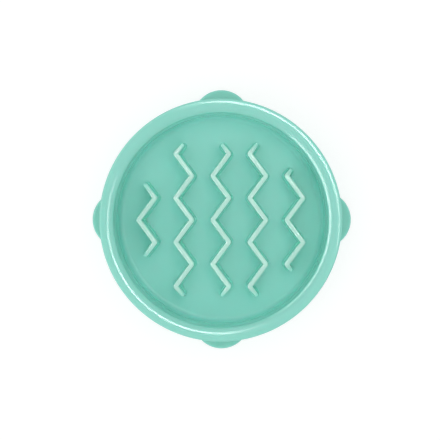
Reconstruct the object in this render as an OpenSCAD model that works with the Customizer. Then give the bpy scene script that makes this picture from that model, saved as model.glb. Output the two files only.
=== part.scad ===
// Slow feeder bowl. A moulded basin with zigzag ridges on its floor, a rolled rim and a skirt,
// standing on four rubber feet that sit in pockets under the tabs of the skirt.
// The origin is the middle of the base, on the surface that the feet stand on. +Z is up, +Y is the back.

/* [Bowl] */
// Diameter over the rim
rim_d = 168; // [164:1:190]
// Height of the rim's crest above the table
bowl_h = 38; // [36:1:48]
// Height of the basin's floor above the table
floor_h = 6; // [5:0.5:8]
// Thickness of the moulded walls
wall = 2.4; // [1.8:0.1:2.8]
// Radius where the floor runs up into the wall
floor_fillet = 4; // [2:0.5:6]
// Draft of the moulded walls, in degrees
draft = 1.5; // [0.5:0.25:2.5]
// Height of the skirt's lower edge above the table
skirt_gap = 1; // [0.6:0.1:1.6]

/* [Rim] */
// Width from the rim's outer edge to the basin's wall
rim_w = 9.5; // [9:0.1:12]
// Radius of the crown
crown_r = 8.5; // [7.5:0.5:12]
// Distance of the crest from the outer edge
crest_inset = 3.3; // [2.8:0.1:4.2]
// Rounding of the rim's outer edge
outer_round = 1.6; // [1:0.1:2.2]
// Rounding of the rim's inner edge
inner_round = 2.5; // [1.5:0.1:3.2]

/* [Ridges] */
// Height of the ridges above the floor
ridge_h = 22; // [14:1:26]
// Width of a ridge at its top
ridge_w = 3.2; // [2.8:0.1:3.8]
// Draft of the ridges' sides, in degrees
ridge_draft = 2; // [0.5:0.25:3]
// Rounding of the ridges' upper edges
ridge_round = 1.3; // [0.6:0.1:1.3]
// Rounding of the outside of a bend, over and above half of the ridge's width
bend_round = 1; // [0:0.1:1.6]
// Fillet between a ridge and the floor
ridge_fillet = 1.2; // [0.5:0.1:2]
// Length of one whole zigzag
ridge_pitch = 31; // [26:0.5:32]
// Sideways swing of a ridge's mid-line
ridge_swing = 11.6; // [8:0.2:12]
// Distance between the mid-lines of neighbouring ridges
ridge_gap = 26; // [22:0.5:27]
// Width of a ridge's tip
tip_w = 2.8; // [1.6:0.1:2.8]
// Fall of a ridge's top from its last bend to its tip
tip_drop = 3.5; // [0:0.5:6]

/* [Tabs] */
// Reach of a tab past the rim
tab_out = 9.2; // [8:0.1:12]
// Radius of a tab in plan
tab_r = 20.3; // [18:0.1:23]
// Thickness of a tab
tab_h = 6; // [5.4:0.2:8]
// Rounding of a tab's upper edge
tab_round = 1.6; // [0.8:0.1:2]
// Diameter of the shallow well over the moulding gate, under the floor
gate_d = 9; // [6:0.5:14]
// Depth of that well
gate_depth = 0.5; // [0.2:0.1:0.8]

/* [Feet] */
// Length of a foot
foot_len = 20; // [14:0.5:22]
// Depth of a foot's pocket in its tab
foot_depth = 3.2; // [2:0.1:3.6]
// Margin between a foot's pocket and the tip of its tab
foot_margin = 2.4; // [2:0.1:3]
// Wall between a foot's pocket and the hollow inside the skirt
pocket_wall = 1.2; // [0.8:0.1:1.6]
// Rounding of a foot's lower edge
foot_round = 0.8; // [0.4:0.1:1.2]
// Clearance round a foot in its pocket
foot_fit = 0.15; // [0.05:0.05:0.3]

/* [Hidden] */
$fn = 96;

bowl_colour = [0.50, 0.80, 0.72];
foot_colour = [0.24, 0.25, 0.26];

// Steps in an arc of the rim, in a small round, in a fillet, round a ridge's bend, round its nose
// and round the end of a foot's pocket
rim_steps = 8;
round_steps = 4;
fillet_steps = 2;
corner_steps = 4;
nose_steps = 6;
pocket_steps = 12;
// Overrun of every cut, and depth to which the ridges are rooted in the floor
overrun = 1;
root_depth = wall / 2;

// Bends on each side of a ridge's middle, and how far its end runs towards the next bend
ridge_rows = [1, 3, 3, 3, 2];
ridge_end_shares = [0.59, 0.40, 0.40, 0.40, 0.25];
middle_ridge = (len(ridge_rows) - 1) / 2;

rim_r = rim_d / 2;

// Points along an arc, from one angle to another
function arc(centre, radius, from, to, steps) =
    [for (i = [0 : steps]) let (a = from + (to - from) * i / steps) centre + radius * [cos(a), sin(a)]];

// The crown, and the two edge rounds that touch it from inside
crown_c = [rim_r - crest_inset, bowl_h - crown_r];
outer_angle = acos((crest_inset - outer_round) / (crown_r - outer_round));
inner_angle = acos((rim_w - crest_inset - inner_round) / (crown_r - inner_round));
outer_c = crown_c + (crown_r - outer_round) * [cos(outer_angle), sin(outer_angle)];
inner_c = crown_c + (crown_r - inner_round) * [-cos(inner_angle), sin(inner_angle)];

// Where the drafted faces of the basin's wall and of the skirt leave those rounds
basin_top = inner_c + inner_round * [-cos(draft), sin(draft)];
skirt_top = outer_c + outer_round * [cos(draft), sin(draft)];
skirt_foot_r = skirt_top.x + (skirt_top.y - skirt_gap) * tan(draft);

// The round between floor and wall
fillet_z = floor_h + floor_fillet;
fillet_c = [
    basin_top.x + ((fillet_z - basin_top.y) * sin(draft) - floor_fillet) / cos(draft),
    fillet_z
];

// The round at the top of the hollow between the basin's wall and the skirt, one wall inside both
hollow_r = ((skirt_top.x - basin_top.x) * cos(draft) - 2 * wall
    + (skirt_top.y + basin_top.y - 2 * bowl_h + 2 * wall) * sin(draft)) / (2 - 2 * sin(draft));
hollow_z = bowl_h - wall - hollow_r;
hollow_c = [
    basin_top.x + (hollow_r + wall + (hollow_z - basin_top.y) * sin(draft)) / cos(draft),
    hollow_z
];

// A tab grows out of the middle of the skirt's wall. Its foot takes the width that is left beside the hollow.
tab_reach = rim_r + tab_out;
tab_inner_r = skirt_foot_r - wall / 2;
pocket_inner_r = skirt_foot_r - wall / cos(draft) + pocket_wall;
pocket_w = tab_reach - foot_margin - pocket_inner_r;
foot_w = pocket_w - 2 * foot_fit;
foot_r = pocket_inner_r + pocket_w / 2;
foot_h = skirt_gap + foot_depth;

// Half the outline of the basin, rim and skirt, from the axis along the top and back underneath
module shell_outline() {
    polygon(concat(
        [[0, floor_h]],
        arc(fillet_c, floor_fillet, -90, -draft, rim_steps),
        arc(inner_c, inner_round, 180 - draft, 180 - inner_angle, rim_steps),
        arc(crown_c, crown_r, 180 - inner_angle, outer_angle, rim_steps),
        arc(outer_c, outer_round, outer_angle, draft, rim_steps),
        [[skirt_foot_r, skirt_gap], [skirt_foot_r - wall / cos(draft), skirt_gap]],
        arc(hollow_c, hollow_r, draft, 180 - draft, rim_steps),
        arc(fillet_c, floor_fillet + wall, -draft, -90, rim_steps),
        [[0, floor_h - wall]]
    ));
}

// Bends of a ridge. Neighbouring ridges swing opposite ways, so they enclose diamond cells.
function bend(ridge, row) = [
    (ridge - middle_ridge) * ridge_gap + ((ridge + row) % 2 == 0 ? -1 : 1) * ridge_swing / 2,
    row * ridge_pitch / 2
];

// The tip of a ridge, part of the way from its last bend to where the next would be
function tip(ridge, way) =
    let (last = bend(ridge, way * ridge_rows[ridge]), next = bend(ridge, way * (ridge_rows[ridge] + 1)))
    last + ridge_end_shares[ridge] * (next - last);

// A ridge's mid-line, from its front tip to its back tip
function mid_line(ridge) = concat(
    [tip(ridge, -1)],
    [for (row = [-ridge_rows[ridge] : ridge_rows[ridge]]) bend(ridge, row)],
    [tip(ridge, 1)]
);

// A ridge's section from its root to its top: distance from the mid-line, and height above the floor
ridge_foot = ridge_w / 2 + ridge_h * tan(ridge_draft);
ridge_fillet_x = ridge_foot + ridge_fillet * (1 - sin(ridge_draft)) / cos(ridge_draft);
ridge_round_z = ridge_h - ridge_round;
ridge_round_x = ridge_foot - (ridge_round + ridge_round_z * sin(ridge_draft)) / cos(ridge_draft);
ridge_section = concat(
    [[ridge_fillet_x, -root_depth]],
    arc([ridge_fillet_x, ridge_fillet], ridge_fillet, 270, 180 + ridge_draft, fillet_steps),
    arc([ridge_round_x, ridge_round_z], ridge_round, ridge_draft, 90, round_steps)
);

// The tip of a ridge has the same section, narrower and lower
tip_width_share = tip_w / ridge_w;
tip_height_share = (ridge_h - tip_drop) / ridge_h;

function heading(from, to) = atan2(to.y - from.y, to.x - from.x);

// Places along a bend and directions from them to the outline beside it, on its right as the line runs.
// The inside of a bend is one mitred corner. Its outside is rounded about a place further in.
function side_rays(before, here, after) =
    let (
        a = heading(before, here) - 90,
        b = heading(here, after) - 90,
        middle = [cos((a + b) / 2), sin((a + b) / 2)] / cos((a - b) / 2)
    )
    b < a
        ? [[here, middle]]
        : [for (i = [0 : corner_steps])
            let (t = a + (b - a) * i / corner_steps, ray = [cos(t), sin(t)])
            [here + bend_round * (ray - middle), ray]];

// Directions round the nose at the end of the line
function nose_rays(before, here) =
    let (a = heading(before, here) - 90)
    [for (i = [0 : nose_steps]) let (t = a + 180 * i / nose_steps) [cos(t), sin(t)]];

// The way round a ridge: for each point of its outline, the place it belongs to, its ray and its shares
function half_way_round(line, first) =
    let (end = len(line) - 1)
    concat(
        [for (i = [1 : end - 1], side = side_rays(line[i - 1], line[i], line[i + 1]))
            [first + (first == 0 ? i : -i), side[0], side[1], 1, 1]],
        [for (ray = nose_rays(line[end - 1], line[end]))
            [first + (first == 0 ? end : -end), line[end], ray, tip_width_share, tip_height_share]]
    );

function reversed(list) = [for (i = [len(list) - 1 : -1 : 0]) list[i]];

// One zigzag ridge: its section swept round its outline, closed along the mid-line above and below
module ridge(number) {
    line = mid_line(number);
    last = len(line) - 1;
    round = concat(half_way_round(line, 0), half_way_round(reversed(line), last));
    count = len(round);
    layers = len(ridge_section);
    top = ridge_section[layers - 1].y;
    spine_shares = [for (i = [0 : last]) i == 0 || i == last ? tip_height_share : 1];
    outline_points = [for (layer = ridge_section, way = round)
        let (p = way[1] + layer.x * way[3] * way[2]) [p.x, p.y, layer.y < 0 ? layer.y : layer.y * way[4]]];
    low_spine = [for (place = line) [place.x, place.y, -root_depth]];
    high_spine = [for (i = [0 : last]) [line[i].x, line[i].y, top * spine_shares[i]]];
    low = layers * count;
    high = low + last + 1;
    polyhedron(
        points = concat(outline_points, low_spine, high_spine),
        faces = concat(
            [for (k = [0 : layers - 2], i = [0 : count - 1]) let (j = (i + 1) % count)
                [k * count + i, (k + 1) * count + i, (k + 1) * count + j, k * count + j]],
            [for (i = [0 : count - 1]) let (j = (i + 1) % count, a = round[i][0], b = round[j][0])
                a == b ? [i, j, low + a] : [i, j, low + b, low + a]],
            [for (i = [0 : count - 1]) let (
                    j = (i + 1) % count,
                    a = round[i][0],
                    b = round[j][0],
                    from = (layers - 1) * count
                )
                a == b ? [from + j, from + i, high + a] : [from + j, from + i, high + a, high + b]]
        )
    );
}

// A tab at the foot of the skirt, along +X
module tab() {
    side_x = tab_r - (tab_h - tab_round) * tan(draft);
    round_c = [side_x - tab_round * cos(draft), tab_h - tab_round];
    translate([tab_reach - tab_r, 0, skirt_gap])
        rotate_extrude()
            polygon(concat(
                [[0, 0], [tab_r, 0]],
                arc(round_c, tab_round, draft, 90, round_steps),
                [[0, tab_h]]
            ));
}

function mirrored(points) = [for (p = reversed(points)) [-p.x, p.y]];

// A bar with round ends that lies along Y, with its lower edge rounded
module bar(length, width, height, round) {
    ends = (length - width) / 2;
    side = concat([[width / 2, height]], arc([width / 2 - round, round], round, 0, -90, round_steps));
    for (way = [-1, 1])
        translate([0, way * ends])
            rotate_extrude()
                polygon(concat(side, [[0, 0], [0, height]]));
    translate([0, ends])
        rotate([90, 0, 0])
            linear_extrude(height = 2 * ends)
                polygon(concat(side, mirrored(side)));
}

// The pocket of a foot, open below
module foot_pocket() {
    ends = (foot_len - foot_w) / 2;
    translate([foot_r, 0, skirt_gap - overrun])
        linear_extrude(height = foot_depth + overrun)
            polygon(concat(
                arc([0, ends], pocket_w / 2, 0, 180, pocket_steps),
                arc([0, -ends], pocket_w / 2, 180, 360, pocket_steps)
            ));
}

// The one-piece moulding: basin, rim, skirt, tabs and ridges
module bowl() {
    color(bowl_colour)
        difference() {
            union() {
                rotate_extrude() shell_outline();
                for (side = [0 : 3])
                    rotate([0, 0, side * 90])
                        difference() {
                            tab();
                            translate([0, 0, -overrun])
                                cylinder(r = tab_inner_r, h = bowl_h);
                        }
                translate([0, 0, floor_h])
                    for (number = [0 : len(ridge_rows) - 1])
                        ridge(number);
            }
            for (side = [0 : 3])
                rotate([0, 0, side * 90])
                    foot_pocket();
            translate([0, 0, floor_h - wall - overrun])
                cylinder(d = gate_d, h = overrun + gate_depth);
        }
}

// One rubber foot, on the given side of the bowl
module foot(side) {
    color(foot_colour)
        rotate([0, 0, side * 90])
            translate([foot_r, 0])
                bar(foot_len, foot_w, foot_h, foot_round);
}

bowl();
foot(0);  // foot_right
foot(1);  // foot_back
foot(2);  // foot_left
foot(3);  // foot_front
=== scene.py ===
"""Slow feeder bowl: a mint-green moulding with zigzag ridges, a rolled rim and a skirt on rubber feet."""

import math

import bmesh
import bpy
from mathutils import Matrix, Quaternion, Vector


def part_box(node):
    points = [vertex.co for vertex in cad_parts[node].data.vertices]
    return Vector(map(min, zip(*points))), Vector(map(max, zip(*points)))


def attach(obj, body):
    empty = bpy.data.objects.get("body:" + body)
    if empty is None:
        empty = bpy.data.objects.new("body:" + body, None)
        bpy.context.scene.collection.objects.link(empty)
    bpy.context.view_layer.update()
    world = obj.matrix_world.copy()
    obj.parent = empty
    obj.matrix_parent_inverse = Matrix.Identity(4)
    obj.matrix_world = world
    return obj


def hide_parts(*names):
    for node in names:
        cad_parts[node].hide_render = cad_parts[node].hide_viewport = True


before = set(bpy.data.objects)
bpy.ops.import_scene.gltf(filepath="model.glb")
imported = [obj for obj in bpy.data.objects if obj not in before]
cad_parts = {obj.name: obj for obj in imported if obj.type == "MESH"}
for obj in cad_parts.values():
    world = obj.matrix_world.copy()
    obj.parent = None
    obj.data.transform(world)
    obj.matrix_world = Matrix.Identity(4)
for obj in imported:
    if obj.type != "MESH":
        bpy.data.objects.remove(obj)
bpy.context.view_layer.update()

MM = 0.001
RIGHT_ANGLE = math.pi / 2

# Heights and reaches that the frame gives
BOWL_LOW, BOWL_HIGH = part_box("bowl")
FOOT_LOW, FOOT_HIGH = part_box("foot_right")
SKIRT_FOOT_Z = BOWL_LOW.z
CREST_Z = BOWL_HIGH.z
TAB_REACH = BOWL_HIGH.x

# The moulding, in the part's own sizes
RIM_R = 84 * MM
FLOOR_Z = 6 * MM
WALL = 2.4 * MM
FLOOR_FILLET = 4 * MM
DRAFT = math.radians(1.5)
RIM_W = 9.5 * MM
CROWN_R = 8.5 * MM
CREST_INSET = 3.3 * MM
OUTER_ROUND = 1.6 * MM
INNER_ROUND = 2.5 * MM
SKIRT_FOOT_ROUND = 0.4 * MM
GATE_R = 4.5 * MM
GATE_DEPTH = 0.5 * MM
CROWN_C = (RIM_R - CREST_INSET, CREST_Z - CROWN_R)

# The ridges
RIDGE_H = 22 * MM
RIDGE_W = 3.2 * MM
RIDGE_DRAFT = math.radians(2)
RIDGE_ROUND = 1.3 * MM
BEND_ROUND = 1 * MM
RIDGE_FILLET = 1.2 * MM
RIDGE_PITCH = 31 * MM
RIDGE_SWING = 11.6 * MM
RIDGE_GAP = 26 * MM
TIP_W = 2.8 * MM
TIP_DROP = 3.5 * MM
RIDGE_ROWS = (1, 3, 3, 3, 2)
RIDGE_END_SHARES = (0.59, 0.40, 0.40, 0.40, 0.25)
MIDDLE_RIDGE = 2

# The tabs and the pockets of the feet
TAB_R = 20.3 * MM
TAB_H = 6 * MM
TAB_ROUND = 1.6 * MM
TAB_COUNT = 4
FOOT_FIT = 0.15 * MM

# Steps of a full turn and of the arcs
TURN_STEPS = 360
ARC_STEPS = 16
SKIRT_FOOT_STEPS = 4
RIDGE_ARC_STEPS = 6
BEND_STEPS = 8
NOSE_STEPS = 12
TAB_STEPS = 48
TAB_ROUND_STEPS = 8

# The tabs' undersides lie this much above the skirt's foot, so that the two never share a plane
SEAM = 0.02 * MM

# Corners nearer than this become one, and edges that turn more than this stay sharp
MERGE = 0.001 * MM
SHARP_ANGLE = math.radians(40)

# Colours of the plastic and of the rubber, each clouded between two
MINT = ((0.300, 0.735, 0.630), (0.315, 0.755, 0.650))
RUBBER = ((0.040, 0.042, 0.046), (0.062, 0.065, 0.070))

# Colours that the plastic takes on in places: painted light, painted shade and a painted highlight, then real
# scuffs
# Painted light: the basin's floor is lighter than the rest, as if more light reached it
BASIN_PAINTED_LIGHT_MINT = (0.335, 0.825, 0.725)
# Painted shade: the rim's outer edge, the skirt and the tabs are darker, as if in the rim's shade
OUTSIDE_PAINTED_SHADE_MINT = (0.300, 0.705, 0.605)
# Painted highlight: the ridges' upper edges are paler, as if they mirrored a light
RIDGE_PAINTED_HIGHLIGHT_MINT = (0.53, 0.79, 0.70)
SCUFFED_MINT = (0.40, 0.79, 0.70)

# Distances from the axis, then heights, between which the plastic's look changes
RIDGE_FIELD_EDGE = (0.78 * RIM_R, 0.82 * RIM_R)
BASIN_EDGE = (0.92 * RIM_R, 0.96 * RIM_R)
OUTSIDE_EDGE = (RIM_R - 2 * MM, RIM_R - 1 * MM)
RIDGE_TOP_Z = FLOOR_Z + RIDGE_H
BASIN_LOW = (FLOOR_Z + FLOOR_FILLET, FLOOR_Z + 3 * FLOOR_FILLET)
RIDGE_EDGES = (RIDGE_TOP_Z - 4.5 * MM, RIDGE_TOP_Z - 0.8 * MM)
SCUFFED_EDGES = (RIDGE_TOP_Z - 1.2 * MM, RIDGE_TOP_Z)

# Roughness of the glossy rim, and what the matt zones and the scuffs add to it
GLOSSY = (0.12, 0.15)
MATT_EXTRA = 0.4
SCUFF_EXTRA = (0.05, 0.15)

# The studio: strengths of the soft light and of the white floor's glow, and the floor's size in metres
HORIZON_LIGHT = 0.54
ZENITH_LIGHT = 1.06
STUDIO_FLOOR_GLOW = 0.68
STUDIO_FLOOR_R = 4
STUDIO_FLOOR_STEPS = 64

# The camera and what it looks at
LENS = 83.1
SENSOR_WIDTH = 36
CAMERA_SPOT = Vector((0.0142, 0.0135, 0.738))
CAMERA_TARGET = Vector((-0.3 * MM, 0.3 * MM, CREST_Z))


def arc(centre, radius, start, end, steps=ARC_STEPS):
    """Points along an arc, from one angle to another."""
    angles = [start + (end - start) * i / steps for i in range(steps + 1)]
    return [(centre[0] + radius * math.cos(a), centre[1] + radius * math.sin(a)) for a in angles]


def new_object(name, data):
    """An object that shows the data in the scene."""
    thing = bpy.data.objects.new(name, data)
    bpy.context.scene.collection.objects.link(thing)
    return thing


def mesh_object(name, mesh, material):
    """Turns a bmesh into an object, and frees it."""
    data = bpy.data.meshes.new(name)
    mesh.to_mesh(data)
    mesh.free()
    data.materials.append(material)
    return new_object(name, data)


def new_ring(mesh, spots):
    """A closed ring of corners."""
    ring = [mesh.verts.new(spot) for spot in spots]
    for pair in zip(ring, ring[1:] + ring[:1]):
        mesh.edges.new(pair)
    return ring


def ring_edges(mesh, ring):
    return [mesh.edges.get(pair) for pair in zip(ring, ring[1:] + ring[:1])]


def extrude_ring(mesh, ring, spots):
    """Extrudes a ring to new places, and gives the new ring in the same order."""
    grown = set(bmesh.ops.extrude_edge_only(mesh, edges=ring_edges(mesh, ring))["geom"])
    beyond = [next(e.other_vert(v) for e in v.link_edges if e.other_vert(v) in grown) for v in ring]
    for corner, spot in zip(beyond, spots):
        corner.co = spot
    return beyond


def crown_round(side, reach, radius):
    """The round between the crown and a wall: its centre, its angle on the crown, and the wall's top.

    The side is 1 for the skirt and -1 for the basin. The reach is the wall's distance from the crest.
    """
    angle = math.acos((reach - radius) / (CROWN_R - radius))
    centre = (
        CROWN_C[0] + side * (CROWN_R - radius) * math.cos(angle),
        CROWN_C[1] + (CROWN_R - radius) * math.sin(angle),
    )
    wall_top = (centre[0] + side * radius * math.cos(DRAFT), centre[1] + radius * math.sin(DRAFT))
    return centre, angle, wall_top


def skirt_foot_r():
    """The skirt's outer radius at its foot."""
    _, _, skirt_top = crown_round(1, CREST_INSET, OUTER_ROUND)
    return skirt_top[0] + (skirt_top[1] - SKIRT_FOOT_Z) * math.tan(DRAFT)


def groove_round(basin_top, skirt_top):
    """Centre and radius of the groove's upper end, a wall's thickness from the basin, crest and skirt."""
    radius = (skirt_top[0] - basin_top[0]) * math.cos(DRAFT) - 2 * WALL
    radius += (skirt_top[1] + basin_top[1] - 2 * CREST_Z + 2 * WALL) * math.sin(DRAFT)
    radius /= 2 - 2 * math.sin(DRAFT)
    height = CREST_Z - WALL - radius
    across = basin_top[0] + (radius + WALL + (height - basin_top[1]) * math.sin(DRAFT)) / math.cos(DRAFT)
    return (across, height), radius


def skirt_edge():
    """The rounded lower edge of the skirt, from its outer face to its inner one."""
    outer_x = skirt_foot_r() - SKIRT_FOOT_ROUND
    inner_x = skirt_foot_r() - WALL / math.cos(DRAFT) + SKIRT_FOOT_ROUND
    height = SKIRT_FOOT_Z + SKIRT_FOOT_ROUND
    return (
        arc((outer_x, height), SKIRT_FOOT_ROUND, 0, -RIGHT_ANGLE, SKIRT_FOOT_STEPS)
        + arc((inner_x, height), SKIRT_FOOT_ROUND, -RIGHT_ANGLE, -2 * RIGHT_ANGLE, SKIRT_FOOT_STEPS)
    )


def shell_profile():
    """Half the section from the floor's edge over wall, rim and skirt to the underside's middle."""
    outer_c, outer, skirt_top = crown_round(1, CREST_INSET, OUTER_ROUND)
    inner_c, inner, basin_top = crown_round(-1, RIM_W - CREST_INSET, INNER_ROUND)
    fillet_z = FLOOR_Z + FLOOR_FILLET
    fillet_inset = (fillet_z - basin_top[1]) * math.sin(DRAFT) - FLOOR_FILLET
    fillet_c = (basin_top[0] + fillet_inset / math.cos(DRAFT), fillet_z)
    groove_c, groove_r = groove_round(basin_top, skirt_top)
    under = FLOOR_Z - WALL
    return (
        arc(fillet_c, FLOOR_FILLET, -RIGHT_ANGLE, -DRAFT)
        + arc(inner_c, INNER_ROUND, math.pi - DRAFT, math.pi - inner)
        + arc(CROWN_C, CROWN_R, math.pi - inner, outer)
        + arc(outer_c, OUTER_ROUND, outer, DRAFT)
        + skirt_edge()
        + arc(groove_c, groove_r, DRAFT, math.pi - DRAFT)
        + arc(fillet_c, FLOOR_FILLET + WALL, -DRAFT, -RIGHT_ANGLE)
        + [(GATE_R, under), (GATE_R, under + GATE_DEPTH), (0, under + GATE_DEPTH)]
    )


def add_shell(mesh):
    """Spins the wall, rim, skirt and underside, and gives the edges that the floor still has to close."""
    corners = [mesh.verts.new((radius, 0, height)) for radius, height in shell_profile()]
    edges = [mesh.edges.new(pair) for pair in zip(corners, corners[1:])]
    bmesh.ops.spin(
        mesh, geom=corners + edges, cent=(0, 0, 0), axis=(0, 0, 1), angle=2 * math.pi,
        steps=TURN_STEPS, use_merge=True,
    )
    bmesh.ops.remove_doubles(mesh, verts=mesh.verts, dist=MERGE)
    return [edge for edge in mesh.edges if edge.is_boundary]


def bend(ridge, row):
    """A bend of a ridge's mid-line. Neighbouring ridges swing opposite ways."""
    way = -1 if (ridge + row) % 2 == 0 else 1
    return Vector(((ridge - MIDDLE_RIDGE) * RIDGE_GAP + way * RIDGE_SWING / 2, row * RIDGE_PITCH / 2))


def mid_line(ridge):
    """A ridge's mid-line, from its front tip to its back tip."""
    rows = RIDGE_ROWS[ridge]
    share = RIDGE_END_SHARES[ridge]
    front = bend(ridge, -rows).lerp(bend(ridge, -rows - 1), share)
    back = bend(ridge, rows).lerp(bend(ridge, rows + 1), share)
    return [front] + [bend(ridge, row) for row in range(-rows, rows + 1)] + [back]


def ridge_section():
    """Distance from the mid-line and height above the floor, from the root to the edge of the flat top."""
    foot = RIDGE_W / 2 + RIDGE_H * math.tan(RIDGE_DRAFT)
    fillet_x = foot + RIDGE_FILLET * (1 - math.sin(RIDGE_DRAFT)) / math.cos(RIDGE_DRAFT)
    round_z = RIDGE_H - RIDGE_ROUND
    round_x = foot - (RIDGE_ROUND + round_z * math.sin(RIDGE_DRAFT)) / math.cos(RIDGE_DRAFT)
    fillet_end = 2 * RIGHT_ANGLE + RIDGE_DRAFT
    return (
        arc((fillet_x, RIDGE_FILLET), RIDGE_FILLET, 3 * RIGHT_ANGLE, fillet_end, RIDGE_ARC_STEPS)
        + arc((round_x, round_z), RIDGE_ROUND, RIDGE_DRAFT, RIGHT_ANGLE, RIDGE_ARC_STEPS)
    )


def turned(angle):
    return Vector((math.cos(angle), math.sin(angle)))


def right_of(start, end):
    """The angle that points to the right of the way from one place to another."""
    return math.atan2(*(end - start).yx) - RIGHT_ANGLE


def side_rays(before, here, after):
    """Places at a bend and ways to the outline on its right: one at its inside, a fan round its outside."""
    arrive = right_of(before, here)
    leave = right_of(here, after)
    middle = turned((arrive + leave) / 2) / math.cos((arrive - leave) / 2)
    if leave < arrive:
        return [(here, middle)]
    rays = [turned(arrive + (leave - arrive) * i / BEND_STEPS) for i in range(BEND_STEPS + 1)]
    return [(here + BEND_ROUND * (ray - middle), ray) for ray in rays]


def half_outline(line):
    """Place, way out, width share and height share of the outline's points on the line's right."""
    points = []
    for before, here, after in zip(line, line[1:], line[2:]):
        points += [(place, ray, 1, 1) for place, ray in side_rays(before, here, after)]
    tip = line[-1]
    start = right_of(line[-2], tip)
    for i in range(NOSE_STEPS + 1):
        ray = turned(start + math.pi * i / NOSE_STEPS)
        points.append((tip, ray, TIP_W / RIDGE_W, (RIDGE_H - TIP_DROP) / RIDGE_H))
    return points


def add_ridge(mesh, number):
    """Lofts a ridge: the ring of edges at its root, which it gives back, is extruded level by level."""
    line = mid_line(number)
    outline = half_outline(line) + half_outline(line[::-1])

    def ring(distance, height):
        for place, ray, width_share, height_share in outline:
            spot = place + distance * width_share * ray
            yield Vector((spot.x, spot.y, FLOOR_Z + height * height_share))

    levels = ridge_section()
    root = new_ring(mesh, ring(*levels[0]))
    corners = root
    for level in levels[1:]:
        corners = extrude_ring(mesh, corners, ring(*level))
    bmesh.ops.triangle_fill(mesh, use_beauty=True, normal=(0, 0, 1), edges=ring_edges(mesh, corners))
    return ring_edges(mesh, root)


def tab_outline(inner_r):
    """A tab's round edge, and the edge that it hides inside the skirt's wall."""
    centre = TAB_REACH - TAB_R
    cross_x = (inner_r ** 2 - TAB_R ** 2 + centre ** 2) / (2 * centre)
    sweep = math.acos((cross_x - centre) / TAB_R)
    turn = math.acos(cross_x / inner_r)
    return (
        arc((centre, 0), TAB_R, -sweep, sweep, TAB_STEPS)
        + arc((0, 0), inner_r, turn, -turn, TAB_STEPS // 2)[1:-1]
    )


def pocket_outline():
    """The outline of a foot's pocket: a bar with round ends that lies along Y."""
    middle = (FOOT_LOW.x + FOOT_HIGH.x) / 2
    length = FOOT_HIGH.y - FOOT_LOW.y + 2 * FOOT_FIT
    width = FOOT_HIGH.x - FOOT_LOW.x + 2 * FOOT_FIT
    end = (length - width) / 2
    back = arc((middle, end), width / 2, 0, math.pi)
    front = arc((middle, -end), width / 2, math.pi, 2 * math.pi)
    return back + front


def add_block(mesh, outline, low_z, high_z):
    """Raises an outline and closes its upper end. Gives the lower and the upper ring."""
    low = new_ring(mesh, [(x, y, low_z) for x, y in outline])
    high = extrude_ring(mesh, low, [(x, y, high_z) for x, y in outline])
    mesh.faces.new(high)
    return low, high


def add_tabs(mesh):
    """The tabs at the skirt's foot: an outline is raised, its top edge rounded and its pocket sunk."""
    inner_r = skirt_foot_r() - WALL / 2
    low_z = SKIRT_FOOT_Z + SEAM
    base, top = add_block(mesh, tab_outline(inner_r), low_z, SKIRT_FOOT_Z + TAB_H)
    mouth, _ = add_block(mesh, pocket_outline(), low_z, FOOT_HIGH.z)
    bmesh.ops.triangle_fill(mesh, use_beauty=True, edges=ring_edges(mesh, base) + ring_edges(mesh, mouth))
    bmesh.ops.recalc_face_normals(mesh, faces=mesh.faces)

    outer = [
        edge for edge in ring_edges(mesh, top)
        if all(corner.co.xy.length > inner_r + MERGE for corner in edge.verts)
    ]
    bmesh.ops.bevel(
        mesh, geom=outer, offset=TAB_ROUND, affect="EDGES", segments=TAB_ROUND_STEPS, profile=0.5,
        material=-1,
    )
    copies = TAB_COUNT - 1
    bmesh.ops.spin(
        mesh, geom=mesh.verts[:] + mesh.edges[:] + mesh.faces[:], cent=(0, 0, 0), axis=(0, 0, 1),
        angle=2 * math.pi * copies / TAB_COUNT, steps=copies, use_duplicate=True,
    )


def build_bowl(material):
    """The moulding, which stands for the frame's bowl: a closed surface, with a closed one for each tab."""
    mesh = bmesh.new()
    add_tabs(mesh)
    floor_edges = add_shell(mesh)
    for number in range(len(RIDGE_ROWS)):
        floor_edges += add_ridge(mesh, number)
    bmesh.ops.triangle_fill(mesh, use_beauty=True, edges=floor_edges)
    bmesh.ops.remove_doubles(mesh, verts=mesh.verts, dist=MERGE)
    bmesh.ops.recalc_face_normals(mesh, faces=mesh.faces)
    bowl = mesh_object("bowl_moulding", mesh, material)
    bowl.data.shade_smooth()
    bowl.data.set_sharp_from_angle(angle=SHARP_ANGLE)
    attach(bowl, "root")
    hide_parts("bowl")


def new_material(name):
    """A material with its shader, and the object's own coordinates."""
    material = bpy.data.materials.new(name)
    material.use_nodes = True
    tree = material.node_tree
    place = tree.nodes.new("ShaderNodeTexCoord").outputs["Object"]
    return material, tree, tree.nodes["Principled BSDF"], place


def noise(tree, place, scale, detail):
    """A cloudy pattern, from 0 to 1."""
    pattern = tree.nodes.new("ShaderNodeTexNoise")
    pattern.inputs["Scale"].default_value = scale
    pattern.inputs["Detail"].default_value = detail
    tree.links.new(place, pattern.inputs["Vector"])
    return pattern.outputs["Fac"]


def spread(tree, value, low, high, start=0.3, end=0.7):
    """A value that runs from low to high as the given one runs from start to end."""
    span = tree.nodes.new("ShaderNodeMapRange")
    for socket, amount in (("From Min", start), ("From Max", end), ("To Min", low), ("To Max", high)):
        span.inputs[socket].default_value = amount
    tree.links.new(value, span.inputs["Value"])
    return span.outputs["Result"]


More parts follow.
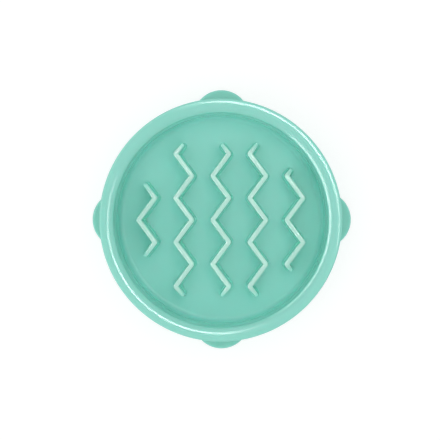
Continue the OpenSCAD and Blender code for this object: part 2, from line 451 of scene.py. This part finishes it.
def blended(tree, factor, first, second):
    """A colour between two others."""
    mix = tree.nodes.new("ShaderNodeMix")
    mix.data_type = "RGBA"
    tree.links.new(factor, mix.inputs["Factor"])
    for socket, colour in (("A", first), ("B", second)):
        if isinstance(colour, tuple):
            mix.inputs[socket].default_value = (*colour, 1)
        else:
            tree.links.new(colour, mix.inputs[socket])
    return mix.outputs["Result"]


def mixed_shaders(tree, factor, first, second):
    """A shader between two others."""
    mix = tree.nodes.new("ShaderNodeMixShader")
    for source, socket in zip((factor, first, second), mix.inputs):
        tree.links.new(source, socket)
    return mix.outputs[0]


def reckoned(tree, operation, first, second):
    """What an operation makes of two values."""
    node = tree.nodes.new("ShaderNodeMath")
    node.operation = operation
    for socket, value in zip(node.inputs, (first, second)):
        tree.links.new(value, socket)
    return node.outputs[0]


def times(tree, first, second):
    return reckoned(tree, "MULTIPLY", first, second)


def plus(tree, first, second):
    return reckoned(tree, "ADD", first, second)


def height_of(tree, place):
    axes = tree.nodes.new("ShaderNodeSeparateXYZ")
    tree.links.new(place, axes.inputs[0])
    return axes.outputs["Z"]


def distance_from_axis(tree, place):
    flat = tree.nodes.new("ShaderNodeVectorMath")
    flat.operation = "MULTIPLY"
    flat.inputs[1].default_value = (1, 1, 0)
    tree.links.new(place, flat.inputs[0])
    reach = tree.nodes.new("ShaderNodeVectorMath")
    reach.operation = "LENGTH"
    tree.links.new(flat.outputs["Vector"], reach.inputs[0])
    return reach.outputs["Value"]


def add_bump(tree, shader, height, strength, distance):
    bump = tree.nodes.new("ShaderNodeBump")
    bump.inputs["Strength"].default_value = strength
    bump.inputs["Distance"].default_value = distance
    tree.links.new(height, bump.inputs["Height"])
    tree.links.new(bump.outputs["Normal"], shader.inputs["Normal"])


def bowl_zones(tree, place):
    """How far a place belongs, from 0 to 1, to the basin's floor, the outside and the ridges' upper edges."""
    height = height_of(tree, place)
    distance = distance_from_axis(tree, place)
    # The basin's zone carries painted light in the colour and a matt finish in the roughness
    basin = times(tree, spread(tree, distance, 1, 0, *BASIN_EDGE), spread(tree, height, 1, 0, *BASIN_LOW))
    # The outside's zone carries painted shade in the colour and a dull finish in the roughness and specular
    outside = spread(tree, distance, 0, 1, *OUTSIDE_EDGE)
    near_ridges = spread(tree, distance, 1, 0, *RIDGE_FIELD_EDGE)
    # The ridges' upper edges carry a painted highlight
    ridge_painted_highlight = times(tree, near_ridges, spread(tree, height, 0, 0.9, *RIDGE_EDGES))
    return basin, outside, ridge_painted_highlight


def scuff_marks(tree, place):
    """Fine faint marks on whatever stands as high as the ridges' tops."""
    proud = spread(tree, height_of(tree, place), 0, 1, *SCUFFED_EDGES)
    marks = spread(tree, noise(tree, place, 240, 8), 0, 0.3, 0.62, 0.78)
    return times(tree, marks, proud)


def mint_plastic():
    """Pale mint polypropylene with some light going through it.

    Its rim is glossy, its basin's floor matt, with painted light making it a little lighter, and its outside
    the dullest, with painted shade making it darker. The ridges' upper edges carry a painted highlight that
    makes them the palest, and what stands high is scuffed.
    """
    material, tree, shader, place = new_material("mint_plastic")
    shader.inputs["IOR"].default_value = 1.49
    shader.inputs["Subsurface Weight"].default_value = 0.7
    shader.inputs["Subsurface Radius"].default_value = (0.6, 1, 0.9)
    shader.inputs["Subsurface Scale"].default_value = 4 * MM

    clouds = noise(tree, place, 45, 3)
    basin, outside, ridge_painted_highlight = bowl_zones(tree, place)
    scuffs = scuff_marks(tree, place)

    tint = blended(tree, spread(tree, clouds, 0, 1), *MINT)
    # The basin's lighter floor is painted light, the outside's darker tint is painted shade and the ridges'
    # pale edges are a painted highlight; the scuffs are real wear
    zones = (
        (basin, BASIN_PAINTED_LIGHT_MINT),
        (outside, OUTSIDE_PAINTED_SHADE_MINT),
        (ridge_painted_highlight, RIDGE_PAINTED_HIGHLIGHT_MINT),
        (scuffs, SCUFFED_MINT),
    )
    for zone, colour in zones:
        tint = blended(tree, zone, tint, colour)
    tree.links.new(tint, shader.inputs["Base Color"])

    shine = spread(tree, outside, 0.5, 0.1, 0, 1)
    tree.links.new(shine, shader.inputs["Specular IOR Level"])
    matt = spread(tree, plus(tree, basin, outside), 0, MATT_EXTRA, 0, 1)
    roughness = plus(tree, spread(tree, clouds, *GLOSSY), matt)
    worn = times(tree, scuffs, spread(tree, clouds, *SCUFF_EXTRA))
    tree.links.new(plus(tree, roughness, worn), shader.inputs["Roughness"])
    add_bump(tree, shader, noise(tree, place, 900, 2), 0.01, 0.05 * MM)
    return material


def foot_rubber():
    """Matt charcoal rubber with a fine speckle."""
    material, tree, shader, place = new_material("foot_rubber")
    shader.inputs["Specular IOR Level"].default_value = 0.3
    speckle = noise(tree, place, 1200, 2)
    tree.links.new(blended(tree, spread(tree, speckle, 0, 1), *RUBBER), shader.inputs["Base Color"])
    tree.links.new(spread(tree, speckle, 0.65, 0.85), shader.inputs["Roughness"])
    add_bump(tree, shader, speckle, 0.2, 0.1 * MM)
    return material


def rubber_feet(material):
    """Gives the frame's own feet their material."""
    for side in ("right", "back", "left", "front"):
        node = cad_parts["foot_" + side]
        node.data.materials.clear()
        node.data.materials.append(material)


def floor_white():
    """White to the camera with a faint shadow, and a plain pale grey to the light that it throws back."""
    material, tree, shader, _ = new_material("floor_white")
    shader.inputs["Base Color"].default_value = (0.85, 0.85, 0.85, 1)
    shader.inputs["Roughness"].default_value = 0.9
    shadow = tree.nodes.new("ShaderNodeBsdfDiffuse")
    shadow.inputs["Color"].default_value = (0.4, 0.4, 0.4, 1)
    glow = tree.nodes.new("ShaderNodeEmission")
    glow.inputs["Strength"].default_value = STUDIO_FLOOR_GLOW
    seen = tree.nodes.new("ShaderNodeAddShader")
    tree.links.new(shadow.outputs[0], seen.inputs[0])
    tree.links.new(glow.outputs[0], seen.inputs[1])
    to_camera = tree.nodes.new("ShaderNodeLightPath").outputs["Is Camera Ray"]
    mix = mixed_shaders(tree, to_camera, shader.outputs[0], seen.outputs[0])
    tree.links.new(mix, tree.nodes["Material Output"].inputs["Surface"])
    return material


def add_floor():
    """A wide round floor."""
    mesh = bmesh.new()
    bmesh.ops.create_circle(mesh, cap_ends=True, segments=STUDIO_FLOOR_STEPS, radius=STUDIO_FLOOR_R)
    floor = mesh_object("floor", mesh, floor_white())


def add_area_light(name, direction, distance, size, radiance, roll=0):
    """A rectangular lamp that looks at the origin from an azimuth and an elevation in degrees."""
    azimuth, elevation = (math.radians(angle) for angle in direction)
    lamp = bpy.data.lights.new(name, "AREA")
    lamp.shape = "RECTANGLE"
    lamp.size, lamp.size_y = size
    lamp.energy = radiance * math.pi * size[0] * size[1]
    holder = new_object(name, lamp)
    out = Vector((
        math.cos(elevation) * math.cos(azimuth),
        math.cos(elevation) * math.sin(azimuth),
        math.sin(elevation),
    ))
    holder.location = distance * out
    aim = (-out).to_track_quat("-Z", "Y")
    holder.rotation_euler = (aim @ Quaternion((0, 0, 1), math.radians(roll))).to_euler()
    return holder


def add_sheen_panel(name, **placing):
    """A panel that the plastic mirrors once, as a pale line, and that adds nothing to the even light."""
    panel = add_area_light(name, **placing)
    panel.visible_diffuse = False
    panel.data.cycles.max_bounces = 0


def light_world():
    """A white surround, and an even soft light that is stronger from above than from the horizon."""
    world = bpy.data.worlds.new("studio")
    bpy.context.scene.world = world
    world.use_nodes = True
    tree = world.node_tree
    direction = tree.nodes.new("ShaderNodeTexCoord").outputs["Generated"]
    soft = tree.nodes.new("ShaderNodeBackground")
    surround = tree.nodes["Background"]
    for light in (soft, surround):
        light.inputs["Color"].default_value = (1, 1, 1, 1)
    strength = spread(tree, height_of(tree, direction), HORIZON_LIGHT, ZENITH_LIGHT, 0, 1)
    tree.links.new(strength, soft.inputs["Strength"])
    path = tree.nodes.new("ShaderNodeLightPath")
    seen = plus(tree, path.outputs["Is Camera Ray"], path.outputs["Is Glossy Ray"])
    seen = plus(tree, seen, path.outputs["Is Transmission Ray"])
    mix = mixed_shaders(tree, seen, soft.outputs[0], surround.outputs[0])
    tree.links.new(mix, tree.nodes["World Output"].inputs["Surface"])


def add_camera():
    """A long lens almost straight above the bowl, with the back of the bowl up."""
    data = bpy.data.cameras.new("camera")
    data.lens = LENS
    data.sensor_width = SENSOR_WIDTH
    camera = new_object("camera", data)
    camera.location = CAMERA_SPOT
    back = (CAMERA_SPOT - CAMERA_TARGET).normalized()
    right = Vector((0, 1, 0)).cross(back).normalized()
    camera.rotation_euler = Matrix((right, back.cross(right), back)).transposed().to_euler()
    bpy.context.scene.camera = camera


def add_lights():
    """A soft key light from the front left, and three panels for the pale lines on the rim."""
    add_area_light("key", direction=(215, 45), distance=1.2, size=(0.5, 0.5), radiance=0.8)
    add_sheen_panel("high_panel", direction=(54, 71), distance=1.2, size=(0.65, 0.30), radiance=8)
    add_sheen_panel("wide_panel", direction=(44, 71), distance=1.25, size=(1.6, 0.30), radiance=6)
    add_sheen_panel("left_panel", direction=(174, 14), distance=0.9, size=(2.5, 0.8), radiance=8, roll=12)


plastic = mint_plastic()
rubber = foot_rubber()
build_bowl(plastic)
rubber_feet(rubber)
add_floor()
add_camera()
add_lights()
light_world()
bpy.context.scene.view_settings.view_transform = "Standard"
